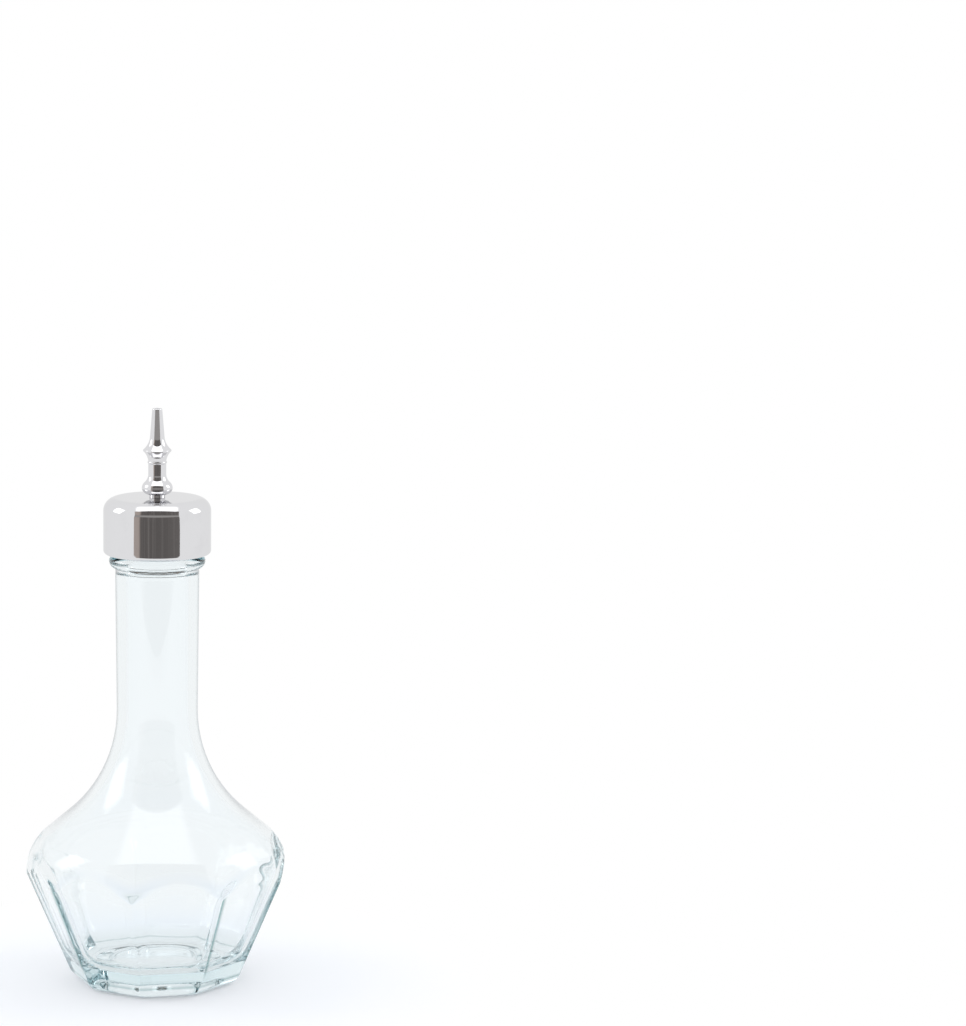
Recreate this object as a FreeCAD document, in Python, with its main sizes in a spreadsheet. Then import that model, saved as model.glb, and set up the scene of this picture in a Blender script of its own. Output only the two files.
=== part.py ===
import FreeCAD, Part
import math
import os
import re
import Sketcher

# A faceted glass dasher bottle, closed by a polished metal dasher top on a cork.
# Millimetres and degrees. The bottle stands on the plane of X and Y, and Z is its axis.

SIZES = {
    # Outside of the glass
    "belly_radius": "34.2",        # largest radius of the round body
    "belly_height": "29.8",        # height of that largest radius
    "shoulder_curve": "13.2",      # radius of the round shoulder above it
    "shoulder_slope": "49.9",      # lean of the straight shoulder from the vertical
    "flare_curve": "35.9",         # radius of the hollow curve up into the neck
    "neck_root_radius": "10.56",   # neck at the top of that curve
    "neck_top_radius": "10.93",    # neck under the bead
    "bead_stand": "1.57",          # how far the glass bead under the cap stands out from the neck
    "bead_curve": "1.75",          # radius of the bead's own section
    "bead_drop": "14.7",           # from the top of the glass to the middle of the bead
    "lip_height": "126.6",         # top of the glass
    "lip_stand": "1.27",           # how far the lip, hidden under the cap, stands out from the neck
    "lip_depth": "4.0",            # height of the thick lip
    "lip_round": "0.8",            # rounding of the lip's edges
    "facet_count": "9",            # flat facets round the body
    "facet_foot": "20.53",         # from the axis to a facet, in the plane of the foot
    "facet_lean": "22.2",          # lean of a facet from the vertical
    "heel_round": "4.8",           # rounding from the facets to the foot
    "bearing_width": "1.2",        # flat ring of the foot, round the hollow push-up
    "push_up_depth": "4.4",        # depth of the flat-topped push-up
    "push_up_round": "4.0",        # rounding between its top and its side
    "push_up_slope": "44.0",       # slope of its side from the level
    # Inside of the glass
    "bore_radius": "8.0",          # neck bore, which the cork grips
    "shoulder_wall": "2.0",        # wall at the shoulder
    "facet_wall": "2.3",           # wall at the middle of a facet
    "floor_height": "7.2",         # inner floor above the foot
    "floor_round": "6.5",          # rounding of the inner floor
    "belly_curve": "7.0",          # inner rounding at the belly
    # Cap, gasket and cork
    "cap_gap": "0.8",              # clearance of the cap's rolled edge round the lip
    "cap_height": "14.7",          # crown to lower edge
    "cap_sheet": "0.7",            # metal thickness
    "crown_round": "3.4",          # rounding of the crown
    "hem_round": "1.0",            # rounding of the rolled lower edge
    "gasket_thickness": "1.2",     # soft ring on the lip
    "gasket_inset": "0.2",         # gasket's outer edge, inside the flat of the crown
    "gasket_gap": "0.3",           # gap between the gasket and the cork
    "cork_length": "11.0",         # cork under the cap
    "cork_edge": "0.6",            # bevel on the cork's lower edge
    "cork_fit": "0.05",            # clearance of the cork in the bore
    # Stem, washer and nut
    "stem_radius": "1.5",          # outside of the stem
    "stem_bore": "0.8",            # way through the stem
    "stem_fit": "0.05",            # clearance round the stem
    "stem_tail": "0.7",            # stem below the nut
    "socket_depth": "3.2",         # stem inside the spout
    "washer_radius": "6.0",        # clamp washer
    "washer_thickness": "0.8",     # clamp washer
    "nut_flats": "5.5",            # nut across its flats
    "nut_thickness": "2.4",        # height of the nut
    "nut_bevel": "30.0",           # bevel of the nut's corners
    # Spout, with heights from its seat on the cap
    "spout_neck_radius": "2.05",   # thin neck on the cap
    "spout_neck_height": "0.8",    # top of that neck
    "knob_radius": "4.0",          # round knob
    "knob_height": "2.3",          # middle of the knob
    "knob_curve": "2.0",           # section of the knob
    "knob_top_radius": "3.2",      # where the knob turns into the waist
    "knob_top_height": "4.1",
    "waist_radius": "2.33",        # slim waist
    "waist_foot": "5.9",           # lower end of the waist
    "waist_top": "8.9",            # upper end of the waist
    "waist_curve": "3.0",          # hollow between knob and waist
    "collar_height": "0.7",        # thin ring above the waist
    "collar_curve": "0.42",        # section of that ring
    "saucer_radius": "3.68",       # sharp-edged saucer
    "saucer_height": "12.2",       # lower edge of its rim
    "saucer_rim": "0.3",           # thickness of its rim
    "saucer_curve": "4.3",         # hollow under the saucer
    "flare_height": "15.5",        # foot of the nozzle above the saucer
    "cone_curve": "5.0",           # hollow above the saucer
    "nozzle_radius": "1.92",       # nozzle at its foot
    "tip_radius": "1.3",           # nozzle at its tip
    "tip_round": "0.3",            # rounding of the tip
    "spout_height": "23.3",        # tip of the spout
    "spout_bore": "0.7",           # way through the spout
}

WORKED = {
    # Where the straight shoulder starts and ends, and where the neck starts
    "slope_foot_radius": "belly_radius - shoulder_curve * (1 - cos(shoulder_slope))",
    "slope_foot_height": "belly_height + shoulder_curve * sin(shoulder_slope)",
    "slope_top_radius": "neck_root_radius + flare_curve * (1 - cos(shoulder_slope))",
    "slope_top_height": "slope_foot_height + (slope_foot_radius - slope_top_radius) / tan(shoulder_slope)",
    "neck_foot": "slope_top_height + flare_curve * sin(shoulder_slope)",
    "bead_height": "lip_height - bead_drop",
    "bead_half": "sqrt(bead_curve^2 - (bead_curve - bead_stand)^2)",
    "lip_radius": "neck_top_radius + lip_stand",
    "push_up_radius": "facet_foot - heel_round / tan((90 + facet_lean) / 2) - bearing_width",
    "push_up_flat": "push_up_radius - push_up_depth / tan(push_up_slope) - push_up_round * tan(push_up_slope / 2)",
    # The same line inside, one wall in from it
    "inner_slope_radius": "slope_foot_radius - shoulder_wall * cos(shoulder_slope)",
    "inner_slope_height": "slope_foot_height - shoulder_wall * sin(shoulder_slope)",
    "inner_flare": "flare_curve + shoulder_wall",
    "inner_top_radius": "bore_radius + inner_flare * (1 - cos(shoulder_slope))",
    "inner_top_height": "inner_slope_height + (inner_slope_radius - inner_top_radius) / tan(shoulder_slope)",
    "bore_foot": "inner_top_height + inner_flare * sin(shoulder_slope)",
    # Centres of the inner roundings at the belly and at the floor
    "wall_foot": "facet_foot - facet_wall / cos(facet_lean)",
    "belly_foot": "wall_foot - belly_curve / cos(facet_lean)",
    "slope_reach": "inner_slope_radius + inner_slope_height * tan(shoulder_slope)",
    "belly_reach": "slope_reach - belly_curve / cos(shoulder_slope)",
    "belly_centre_height": "(belly_reach - belly_foot) / (tan(facet_lean) + tan(shoulder_slope))",
    "belly_centre_radius": "belly_foot + belly_centre_height * tan(facet_lean)",
    "floor_foot": "wall_foot - floor_round / cos(facet_lean)",
    "floor_centre_height": "floor_height + floor_round",
    "floor_centre_radius": "floor_foot + floor_centre_height * tan(facet_lean)",
    # The cap over the lip, and the flat of its crown, which presses on the gasket
    "cap_radius": "lip_radius + cap_gap + hem_round",
    "crown_flat": "cap_radius - crown_round",
    # Heights of the stack under the cap, from the crown down
    "crown_under": "lip_height + gasket_thickness",
    "crown_top": "crown_under + cap_sheet",
    "cap_foot": "cap_sheet - cap_height",
    "cork_foot": "crown_under - cork_length",
    "washer_foot": "cork_foot - washer_thickness",
    "nut_foot": "washer_foot - nut_thickness",
    "stem_foot": "nut_foot - stem_tail",
    "stem_length": "crown_top + socket_depth - stem_foot",
    "cork_radius": "bore_radius - cork_fit",
    "stem_hole": "stem_radius + stem_fit",
    "nut_corner": "nut_flats / sqrt(3)",
}

CUT_OVERRUN = 5.0    # how far a cutting outline runs past what it cuts
NEAR = 1e-4          # two lengths closer than this are the same

doc = FreeCAD.newDocument("dasher_bottle")


def in_sheet(text):
    """The expression with each size's name written as a cell of its sheet."""
    def cell(match):
        word = match.group(0)
        if word in SIZES:
            return "Sizes." + word
        if word in WORKED:
            return "Worked." + word
        return word
    return re.sub(r"[a-z_]+", cell, text)


def fill_sheets():
    """Write the driving sizes as numbers, and what is worked out from them as formulas."""
    sizes = doc.addObject("Spreadsheet::Sheet", "Sizes")
    worked = doc.addObject("Spreadsheet::Sheet", "Worked")
    for row, (alias, number) in enumerate(SIZES.items(), 1):
        sizes.set(f"A{row}", alias)
        sizes.set(f"B{row}", number)
        sizes.setAlias(f"B{row}", alias)
    doc.recompute()
    for row, (alias, formula) in enumerate(WORKED.items(), 1):
        worked.set(f"A{row}", alias)
        worked.set(f"B{row}", "=" + in_sheet(formula).replace("Worked.", ""))
        worked.setAlias(f"B{row}", alias)
        doc.recompute()


def value(text):
    """The number that an expression on the sizes gives."""
    result = doc.getObject("Worked").evalExpression(in_sheet(text))
    return float(getattr(result, "Value", result))


def new_body(label, height="0"):
    """An empty body, placed at a height on the bottle's axis."""
    body = doc.addObject("PartDesign::Body", label)
    body.Label = label
    if height != "0":
        body.setExpression("Placement.Base.z", in_sheet(height))
    return body


def origin_feature(body, role):
    return next(feature for feature in body.Origin.OriginFeatures if feature.Role == role)


def new_sketch(body, name, plane="XZ_Plane"):
    sketch = body.newObject("Sketcher::SketchObject", name)
    sketch.AttachmentSupport = [(origin_feature(body, plane), "")]
    sketch.MapMode = "FlatFace"
    return sketch


def bind(sketch, kind, place, expression):
    """Add a constraint whose value follows an expression on the sizes."""
    number = sketch.addConstraint(Sketcher.Constraint(kind, *place, value(expression)))
    sketch.setExpression(f"Constraints[{number}]", in_sheet(expression))


def arc_between(start, end, radius, side):
    """The short arc between two points, with its centre on the left or the right of the way."""
    chord = end - start
    middle = (start + end) * 0.5
    across = FreeCAD.Vector(-chord.y, chord.x, 0).normalize()
    rise = math.sqrt(max(radius ** 2 - chord.Length ** 2 / 4, 0))
    centre = middle + across * (rise if side == "left" else -rise)
    first, last = (start, end) if side == "left" else (end, start)
    angles = [math.atan2(point.y - centre.y, point.x - centre.x) for point in (first, last)]
    if angles[1] < angles[0]:
        angles[1] += 2 * math.pi
    circle = Part.Circle(centre, FreeCAD.Vector(0, 0, 1), radius)
    return Part.ArcOfCircle(circle, *angles)


def draw_outline(sketch, corners):
    """Draw a closed outline and bind all of it to the sheet.

    A corner is two expressions, for its two coordinates. A third entry makes the way to the next
    corner an arc: its radius, and the side of the way on which its centre lies.
    """
    count = len(corners)
    points = [FreeCAD.Vector(value(corner[0]), value(corner[1]), 0) for corner in corners]
    ends = []
    for index, corner in enumerate(corners):
        start, end = points[index], points[(index + 1) % count]
        if len(corner) == 2:
            sketch.addGeometry(Part.LineSegment(start, end), False)
            ends.append((1, 2))
        else:
            radius, side = corner[2]
            sketch.addGeometry(arc_between(start, end, value(radius), side), False)
            ends.append((1, 2) if side == "left" else (2, 1))
    for index in range(count):
        following = (index + 1) % count
        sketch.addConstraint(
            Sketcher.Constraint("Coincident", index, ends[index][1], following, ends[following][0]))
    for index, corner in enumerate(corners):
        for kind, axis, expression in (("DistanceX", -2, corner[0]), ("DistanceY", -1, corner[1])):
            if expression == "0":
                sketch.addConstraint(Sketcher.Constraint("PointOnObject", index, ends[index][0], axis))
            else:
                bind(sketch, kind, (-1, 1, index, ends[index][0]), expression)
        if len(corner) == 3:
            bind(sketch, "Radius", (index,), corner[2][0])


def turn(body, name, corners, kind="PartDesign::Revolution"):
    """Turn an outline about the body's Z axis, as added or as cut material."""
    sketch = new_sketch(body, name + "_outline")
    draw_outline(sketch, corners)
    before = body.Tip.Shape.Volume if body.Tip else 0
    feature = body.newObject(kind, name)
    feature.Profile = sketch
    feature.ReferenceAxis = (sketch, ["V_Axis"])
    feature.Angle = 360
    doc.recompute()
    if kind == "PartDesign::Groove" and feature.Shape.Volume > before - NEAR:
        raise RuntimeError(f"{name} cuts nothing")
    return feature


def turned_part(label, height, corners):
    """A piece made on the lathe, with its foot at a height on the axis."""
    body = new_body(label, height)
    turn(body, label + "_turned", corners)
    return body


def plain_ring(label, height, inner, outer, thickness):
    corners = [(inner, "0"), (outer, "0"), (outer, thickness), (inner, thickness)]
    return turned_part(label, height, corners)


def round_edges(body, name, radius, wanted):
    """Round the edges of a body's tip that a test picks out."""
    base = body.Tip
    names = [f"Edge{number}" for number, edge in enumerate(base.Shape.Edges, 1) if wanted(edge)]
    if not names:
        raise RuntimeError(f"{name} finds no edge")
    fillet = body.newObject("PartDesign::Fillet", name)
    fillet.Base = (base, names)
    fillet.setExpression("Radius", in_sheet(radius))
    doc.recompute()
    return fillet


def on_foot(edge):
    """Whether an edge lies in the plane that the bottle stands on."""
    return all(abs(vertex.Point.z) < NEAR for vertex in edge.Vertexes)


def on_rim(edge, radius, height):
    """Whether an edge is a circle about the axis with this radius and height."""
    if edge.Degenerated or not isinstance(edge.Curve, Part.Circle):
        return False
    curve = edge.Curve
    return abs(curve.Radius - value(radius)) < NEAR and abs(curve.Center.z - value(height)) < NEAR


def glass_blank(body):
    """The round glass before its facets: body, shoulder, neck, bead and lip."""
    return turn(body, "glass_blank", [
        ("0", "0"),
        ("belly_radius", "0"),
        ("belly_radius", "belly_height", ("shoulder_curve", "left")),
        ("slope_foot_radius", "slope_foot_height"),
        ("slope_top_radius", "slope_top_height", ("flare_curve", "right")),
        ("neck_root_radius", "neck_foot"),
        ("neck_top_radius", "bead_height - bead_half", ("bead_curve", "left")),
        ("neck_top_radius", "bead_height + bead_half"),
        ("neck_top_radius", "lip_height - lip_depth"),
        ("lip_radius", "lip_height - lip_depth"),
        ("lip_radius", "lip_height"),
        ("0", "lip_height"),
    ])


def cut_facets(body):
    """Cut one leaning flat, then repeat it round the axis."""
    before = body.Tip.Shape.Volume
    top = "belly_height + shoulder_curve"
    sketch = new_sketch(body, "facet_outline")
    draw_outline(sketch, [
        (f"facet_foot - {CUT_OVERRUN} * tan(facet_lean)", f"-{CUT_OVERRUN}"),
        ("2 * belly_radius", f"-{CUT_OVERRUN}"),
        ("2 * belly_radius", top),
        (f"facet_foot + ({top}) * tan(facet_lean)", top),
    ])
    facet = body.newObject("PartDesign::Pocket", "facet")
    facet.Profile = sketch
    facet.Type = "ThroughAll"
    facet.SideType = "Symmetric"
    doc.recompute()
    facets = body.newObject("PartDesign::PolarPattern", "facets")
    facets.Originals = [facet]
    facets.Axis = (origin_feature(body, "Z_Axis"), [""])
    facets.Angle = 360
    facets.setExpression("Occurrences", in_sheet("facet_count"))
    body.Tip = facets
    doc.recompute()
    if facets.Shape.Volume > before - NEAR:
        raise RuntimeError("the facets cut nothing")


def glass_bottle():
    body = new_body("glass_bottle")
    glass_blank(body)
    cut_facets(body)
    round_edges(body, "heel", "heel_round", on_foot)
    turn(body, "cavity", [
        ("0", "floor_height"),
        ("floor_centre_radius", "floor_height", ("floor_round", "left")),
        ("floor_centre_radius + floor_round * cos(facet_lean)",
         "floor_centre_height - floor_round * sin(facet_lean)"),
        ("belly_centre_radius + belly_curve * cos(facet_lean)",
         "belly_centre_height - belly_curve * sin(facet_lean)", ("belly_curve", "left")),
        ("belly_centre_radius + belly_curve * cos(shoulder_slope)",
         "belly_centre_height + belly_curve * sin(shoulder_slope)"),
        ("inner_top_radius", "inner_top_height", ("inner_flare", "right")),
        ("bore_radius", "bore_foot"),
        ("bore_radius", f"lip_height + {CUT_OVERRUN}"),
        ("0", f"lip_height + {CUT_OVERRUN}"),
    ], "PartDesign::Groove")
    turn(body, "push_up", [
        ("0", "0"),
        ("push_up_radius", "0"),
        ("push_up_flat + push_up_round * sin(push_up_slope)",
         "push_up_depth - push_up_round * (1 - cos(push_up_slope))", ("push_up_round", "left")),
        ("push_up_flat", "push_up_depth"),
        ("0", "push_up_depth"),
    ], "PartDesign::Groove")
    lip_rims = (("bore_radius", "lip_height"), ("lip_radius", "lip_height"),
                ("lip_radius", "lip_height - lip_depth"))
    round_edges(body, "lip_edges", "lip_round", lambda edge: any(on_rim(edge, *rim) for rim in lip_rims))
    return body


def cap_shell():
    """The pressed cap: a sheet of one thickness with a round crown and a rolled lower edge."""
    return turned_part("cap_shell", "crown_under", [
        ("stem_hole", "0"),
        ("crown_flat", "0", ("crown_round - cap_sheet", "right")),
        ("cap_radius - cap_sheet", "cap_sheet - crown_round"),
        ("cap_radius - cap_sheet", "cap_foot + hem_round", ("hem_round - cap_sheet", "right")),
        ("cap_radius - hem_round", "cap_foot + cap_sheet"),
        ("cap_radius - hem_round", "cap_foot", ("hem_round", "left")),
        ("cap_radius", "cap_foot + hem_round"),
        ("cap_radius", "cap_sheet - crown_round", ("crown_round", "left")),
        ("crown_flat", "cap_sheet"),
        ("stem_hole", "cap_sheet"),
    ])


def spout():
    """The turned finial: neck, knob, waist, saucer and nozzle, bored through for the bitters."""
    return turned_part("spout", "crown_top", [
        ("stem_hole", "0"),
        ("spout_neck_radius", "0"),
        ("spout_neck_radius", "spout_neck_height", ("knob_curve", "left")),
        ("knob_radius", "knob_height", ("knob_curve", "left")),
        ("knob_top_radius", "knob_top_height", ("waist_curve", "right")),
        ("waist_radius", "waist_foot"),
        ("waist_radius", "waist_top", ("collar_curve", "left")),
        ("waist_radius", "waist_top + collar_height", ("saucer_curve", "right")),
        ("saucer_radius", "saucer_height"),
        ("saucer_radius", "saucer_height + saucer_rim", ("cone_curve", "right")),
        ("nozzle_radius", "flare_height"),
        ("tip_radius", "spout_height - tip_round", ("tip_round", "left")),
        ("tip_radius - tip_round", "spout_height"),
        ("spout_bore", "spout_height"),
        ("spout_bore", "socket_depth"),
        ("stem_hole", "socket_depth"),
    ])


def stopper_cork():
    return turned_part("stopper_cork", "cork_foot", [
        ("stem_hole", "0"),
        ("cork_radius - cork_edge", "0"),
        ("cork_radius", "cork_edge"),
        ("cork_radius", "cork_length"),
        ("stem_hole", "cork_length"),
    ])


def cap_gasket():
    return plain_ring("cap_gasket", "lip_height", "cork_radius + gasket_gap", "crown_flat - gasket_inset",
                      "gasket_thickness")


def stem_tube():
    return plain_ring("stem_tube", "stem_foot", "stem_bore", "stem_radius", "stem_length")


def clamp_washer():
    return plain_ring("clamp_washer", "washer_foot", "stem_hole", "washer_radius", "washer_thickness")


def stem_nut():
    """A hexagon nut whose corners are bevelled above and below."""
    body = new_body("stem_nut", "nut_foot")
    sketch = new_sketch(body, "nut_hexagon", "XY_Plane")
    draw_outline(sketch, [(f"nut_corner * cos({angle})", f"nut_corner * sin({angle})")
                          for angle in range(30, 390, 60)])
    hexagon = body.newObject("PartDesign::Pad", "hexagon")
    hexagon.Profile = sketch
    hexagon.setExpression("Length", in_sheet("nut_thickness"))
    doc.recompute()
    turn(body, "nut_bore", [
        ("0", "0"),
        ("stem_hole", "0"),
        ("stem_hole", "nut_thickness"),
        ("0", "nut_thickness"),
    ], "PartDesign::Groove")
    outside = "2 * nut_corner - nut_flats / 2"
    drop = "2 * (nut_corner - nut_flats / 2) * tan(nut_bevel)"
    turn(body, "lower_bevel", [
        ("nut_flats / 2", "0"),
        (outside, "0"),
        (outside, drop),
    ], "PartDesign::Groove")
    turn(body, "upper_bevel", [
        ("nut_flats / 2", "nut_thickness"),
        (outside, f"nut_thickness - {drop}"),
        (outside, "nut_thickness"),
    ], "PartDesign::Groove")
    return body


def check_document(bodies):
    """Stop before anything is written if an object failed or a shape is not sound."""
    doc.recompute()
    for item in doc.Objects:
        if "Invalid" in item.State or "Error" in item.State:
            raise RuntimeError(f"{item.Label} failed: {item.State}")
    for body in bodies:
        if body.Shape.isNull() or not body.Shape.isValid() or len(body.Shape.Solids) != 1:
            raise RuntimeError(f"{body.Label} is not one sound solid")


def main():
    fill_sheets()
    makers = (glass_bottle, cap_shell, spout, cap_gasket, stopper_cork, stem_tube, clamp_washer, stem_nut)
    bodies = [make() for make in makers]
    check_document(bodies)
    os.makedirs("parts", exist_ok=True)
    for body in bodies:
        body.Shape.exportStep(f"parts/{body.Label}.step")
        box = body.Shape.BoundBox
        print(f"{body.Label}: volume {body.Shape.Volume:.1f}, height {box.ZMin:.2f} to {box.ZMax:.2f}")


main()
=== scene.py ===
"""A faceted glass dasher bottle with a polished cap and spout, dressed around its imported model."""
from functools import partialmethod
from math import atan2, ceil, copysign, cos, pi, radians, sin, sqrt, tan

import bmesh
import bpy
from bpy.props import FloatProperty, FloatVectorProperty, IntProperty, PointerProperty
from mathutils import Matrix, Vector


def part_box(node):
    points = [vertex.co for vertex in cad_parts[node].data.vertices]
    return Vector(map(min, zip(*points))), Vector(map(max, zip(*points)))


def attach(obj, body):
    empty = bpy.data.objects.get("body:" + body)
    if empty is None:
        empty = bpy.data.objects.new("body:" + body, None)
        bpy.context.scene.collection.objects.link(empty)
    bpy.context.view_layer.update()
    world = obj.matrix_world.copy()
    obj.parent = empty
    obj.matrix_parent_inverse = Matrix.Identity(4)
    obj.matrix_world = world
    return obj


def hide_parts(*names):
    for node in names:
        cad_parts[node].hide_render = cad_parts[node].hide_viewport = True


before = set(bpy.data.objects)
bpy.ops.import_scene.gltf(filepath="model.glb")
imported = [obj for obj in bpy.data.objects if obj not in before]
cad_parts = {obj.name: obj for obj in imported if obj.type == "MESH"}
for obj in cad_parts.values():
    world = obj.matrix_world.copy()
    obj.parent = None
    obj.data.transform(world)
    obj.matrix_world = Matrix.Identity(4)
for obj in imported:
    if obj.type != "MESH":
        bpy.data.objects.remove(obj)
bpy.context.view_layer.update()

bl_info = {
    "name": "Dasher Bottle",
    "version": (1, 0, 0),
    "blender": (4, 5, 0),
    "location": "View3D > Sidebar > Dasher Bottle",
    "description": "Builds a faceted glass dasher bottle with its cap, spout and cork",
    "category": "Add Mesh",
}

MM = 0.001
WHITE, BLACK = (1.0, 1.0, 1.0, 1.0), (0.0, 0.0, 0.0, 1.0)
LIP_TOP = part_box("glass_bottle")[1].z
CROWN_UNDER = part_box("cap_gasket")[1].z
CROWN_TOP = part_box("cap_shell")[1].z


def size(name, millimetres, description):
    return FloatProperty(name=name, description=description, default=millimetres * MM, min=0.0,
                         subtype="DISTANCE", unit="LENGTH", precision=5)


def angle(name, degrees, description):
    return FloatProperty(name=name, description=description, default=radians(degrees),
                         subtype="ANGLE", unit="ROTATION")


def factor(name, value, description):
    return FloatProperty(name=name, description=description, default=value, min=0.0, max=1.0,
                         subtype="FACTOR")


def colour(name, red, green, blue, description):
    return FloatVectorProperty(name=name, description=description, default=(red, green, blue),
                               size=3, min=0.0, max=1.0, subtype="COLOR")


class GlassSizes(bpy.types.PropertyGroup):
    """Sizes of the glass, outside and inside."""

    belly_radius: size("Belly radius", 34.2, "Largest radius of the round body")
    belly_height: size("Belly height", 29.8, "Height of the largest radius")
    shoulder_curve: size("Shoulder curve", 13.2, "Radius of the round shoulder")
    shoulder_slope: angle("Shoulder slope", 49.9, "Lean of the straight shoulder from the vertical")
    flare_curve: size("Flare curve", 35.9, "Radius of the hollow curve up into the neck")
    neck_root: size("Neck root", 10.56, "Radius of the neck at the top of that curve")
    neck_top: size("Neck top", 10.93, "Radius of the neck under the bead")
    bead_stand: size("Bead", 1.57, "How far the bead stands out from the neck")
    bead_curve: size("Bead curve", 1.75, "Radius of the bead's section")
    bead_drop: size("Bead drop", 14.7, "From the top of the glass to the middle of the bead")
    lip_stand: size("Lip", 1.27, "How far the lip stands out from the neck")
    lip_depth: size("Lip depth", 4.0, "Height of the lip")
    lip_round: size("Lip rounding", 0.8, "Rounding of the lip's edges")
    facets: IntProperty(name="Facets", description="Flats round the body", default=9, min=3)
    facet_foot: size("Facet foot", 20.53, "From the axis to a facet, in the plane of the foot")
    facet_lean: angle("Facet lean", 22.2, "Lean of a facet from the vertical")
    edge_softness: size("Edge softness", 0.6, "How much the edges between facets are melted")
    rim_softness: size("Rim softness", 3.0, "How much the top edge of a facet is melted at its middle")
    heel_round: size("Heel rounding", 4.8, "Rounding from the facets to the foot")
    bearing_width: size("Bearing width", 1.2, "Flat ring of the foot round the push-up")
    push_up_depth: size("Push-up depth", 4.4, "Depth of that hollow")
    push_up_round: size("Push-up rounding", 4.0, "Rounding between its flat top and its side")
    push_up_slope: angle("Push-up slope", 44.0, "Slope of its side from the level")
    bore_radius: size("Bore radius", 8.0, "Bore of the neck")
    shoulder_wall: size("Shoulder wall", 2.0, "Wall at the shoulder")
    facet_wall: size("Facet wall", 2.3, "Wall at the middle of a facet")
    floor_height: size("Floor height", 7.2, "Inner floor above the foot")
    floor_round: size("Floor rounding", 6.5, "Rounding of the inner floor")
    belly_curve: size("Inner belly curve", 7.0, "Inner rounding at the belly")
    inner_facets: factor("Inner facets", 0.85, "How far the inside of the body follows the facets")
    inner_softness: size("Inner edge softness", 2.5, "How much the inner edges between facets are melted")
    waviness: size("Waviness", 0.16, "Uneven thickness of the blown inside")


class TopSizes(bpy.types.PropertyGroup):
    """Sizes of the cap and of what hangs under it."""

    cap_radius: size("Cap radius", 14.0, "Outside of the cap")
    cap_height: size("Cap height", 14.7, "Crown to lower edge")
    cap_sheet: size("Cap sheet", 0.7, "Metal thickness")
    crown_round: size("Crown rounding", 3.4, "Rounding of the crown")
    hem_round: size("Hem rounding", 1.0, "Rounding of the rolled lower edge")
    gasket_inner: size("Gasket bore", 8.25, "Inner radius of the gasket")
    gasket_outer: size("Gasket radius", 10.4, "Outer radius of the gasket")
    cork_radius: size("Cork radius", 7.95, "Radius of the cork")
    cork_length: size("Cork length", 11.0, "Length of the cork")
    cork_edge: size("Cork edge", 0.6, "Bevel of the cork's lower edge")
    stem_radius: size("Stem radius", 1.5, "Outside of the stem")
    stem_bore: size("Stem bore", 0.8, "Way through the stem")
    stem_hole: size("Stem hole", 1.55, "Hole round the stem")
    thread_pitch: size("Thread pitch", 0.5, "Rise of the stem's thread in one turn")
    thread_depth: size("Thread depth", 0.24, "Depth of the stem's thread")
    thread_length: size("Thread length", 9.0, "Threaded length at the stem's lower end")
    washer_radius: size("Washer radius", 6.0, "Radius of the clamp washer")
    nut_flats: size("Nut flats", 5.5, "Nut across its flats")
    nut_bevel: angle("Nut bevel", 30.0, "Bevel of the nut's corners")
    edge_softness: size("Edge softness", 0.12, "Rounding of the sharp edges")


class SpoutSizes(bpy.types.PropertyGroup):
    """Sizes of the spout, with heights from its seat on the cap."""

    neck_radius: size("Neck radius", 2.05, "Thin neck on the cap")
    neck_height: size("Neck height", 0.8, "Top of that neck")
    knob_radius: size("Knob radius", 4.0, "Round knob")
    knob_height: size("Knob height", 2.3, "Middle of the knob")
    knob_curve: size("Knob curve", 2.0, "Section of the knob")
    knob_top_radius: size("Knob top radius", 3.2, "Where the knob turns into the waist")
    knob_top_height: size("Knob top height", 4.1, "Where the knob turns into the waist")
    waist_radius: size("Waist radius", 2.33, "Slim waist")
    waist_foot: size("Waist foot", 5.9, "Lower end of the waist")
    waist_top: size("Waist top", 8.9, "Upper end of the waist")
    waist_curve: size("Waist curve", 3.0, "Hollow between knob and waist")
    collar_height: size("Collar height", 0.7, "Thin ring above the waist")
    collar_curve: size("Collar curve", 0.42, "Section of that ring")
    saucer_radius: size("Saucer radius", 3.68, "Sharp-edged saucer")
    saucer_height: size("Saucer height", 12.2, "Lower edge of its rim")
    saucer_rim: size("Saucer rim", 0.3, "Thickness of its rim")
    saucer_curve: size("Saucer curve", 4.3, "Hollow under the saucer")
    flare_height: size("Flare height", 15.5, "Foot of the nozzle above the saucer")
    cone_curve: size("Cone curve", 5.0, "Hollow above the saucer")
    nozzle_radius: size("Nozzle radius", 1.92, "Nozzle at its foot")
    tip_radius: size("Tip radius", 1.3, "Nozzle at its tip")
    tip_round: size("Tip rounding", 0.3, "Rounding of the tip")
    height: size("Height", 23.3, "Tip of the spout")
    bore: size("Bore", 0.7, "Way through the spout")
    socket_depth: size("Socket depth", 3.2, "Depth of the socket for the stem")


class Finishes(bpy.types.PropertyGroup):
    """Colours of the pieces, with the painted shade that the glass takes at its outline and corners."""

    glass_wall: colour("Glass wall", 0.967, 0.984, 0.993, "Colour of the light that each wall lets through")
    # painted shade: the colour that the glass takes at its outline
    glass_rim_shade: colour("Glass rim", 0.12, 0.14, 0.17, "The same where the light only grazes the wall")
    # painted shade: the colour that the glass takes along the corners between facets
    glass_corner_shade: colour("Glass corner", 0.13, 0.27, 0.27, "Colour that a corner between facets takes")
    glass_tint: colour("Glass tint", 0.17, 0.54, 0.61, "Colour of the light that thick glass lets through")
    glass_density: FloatProperty(name="Glass density", default=9.0, min=0.0,
                                 description="How strongly the glass takes its tint, per metre")
    metal: colour("Polished metal", 0.72, 0.72, 0.735, "Plated cap and spout")
    steel: colour("Stem steel", 0.62, 0.61, 0.6, "Stem, washer and nut")
    cork: colour("Cork", 0.58, 0.37, 0.2, "Body of the cork")
    cork_pits: colour("Cork pits", 0.17, 0.08, 0.04, "Pores of the cork")
    gasket: colour("Gasket", 0.78, 0.78, 0.76, "Soft gasket")


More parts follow.
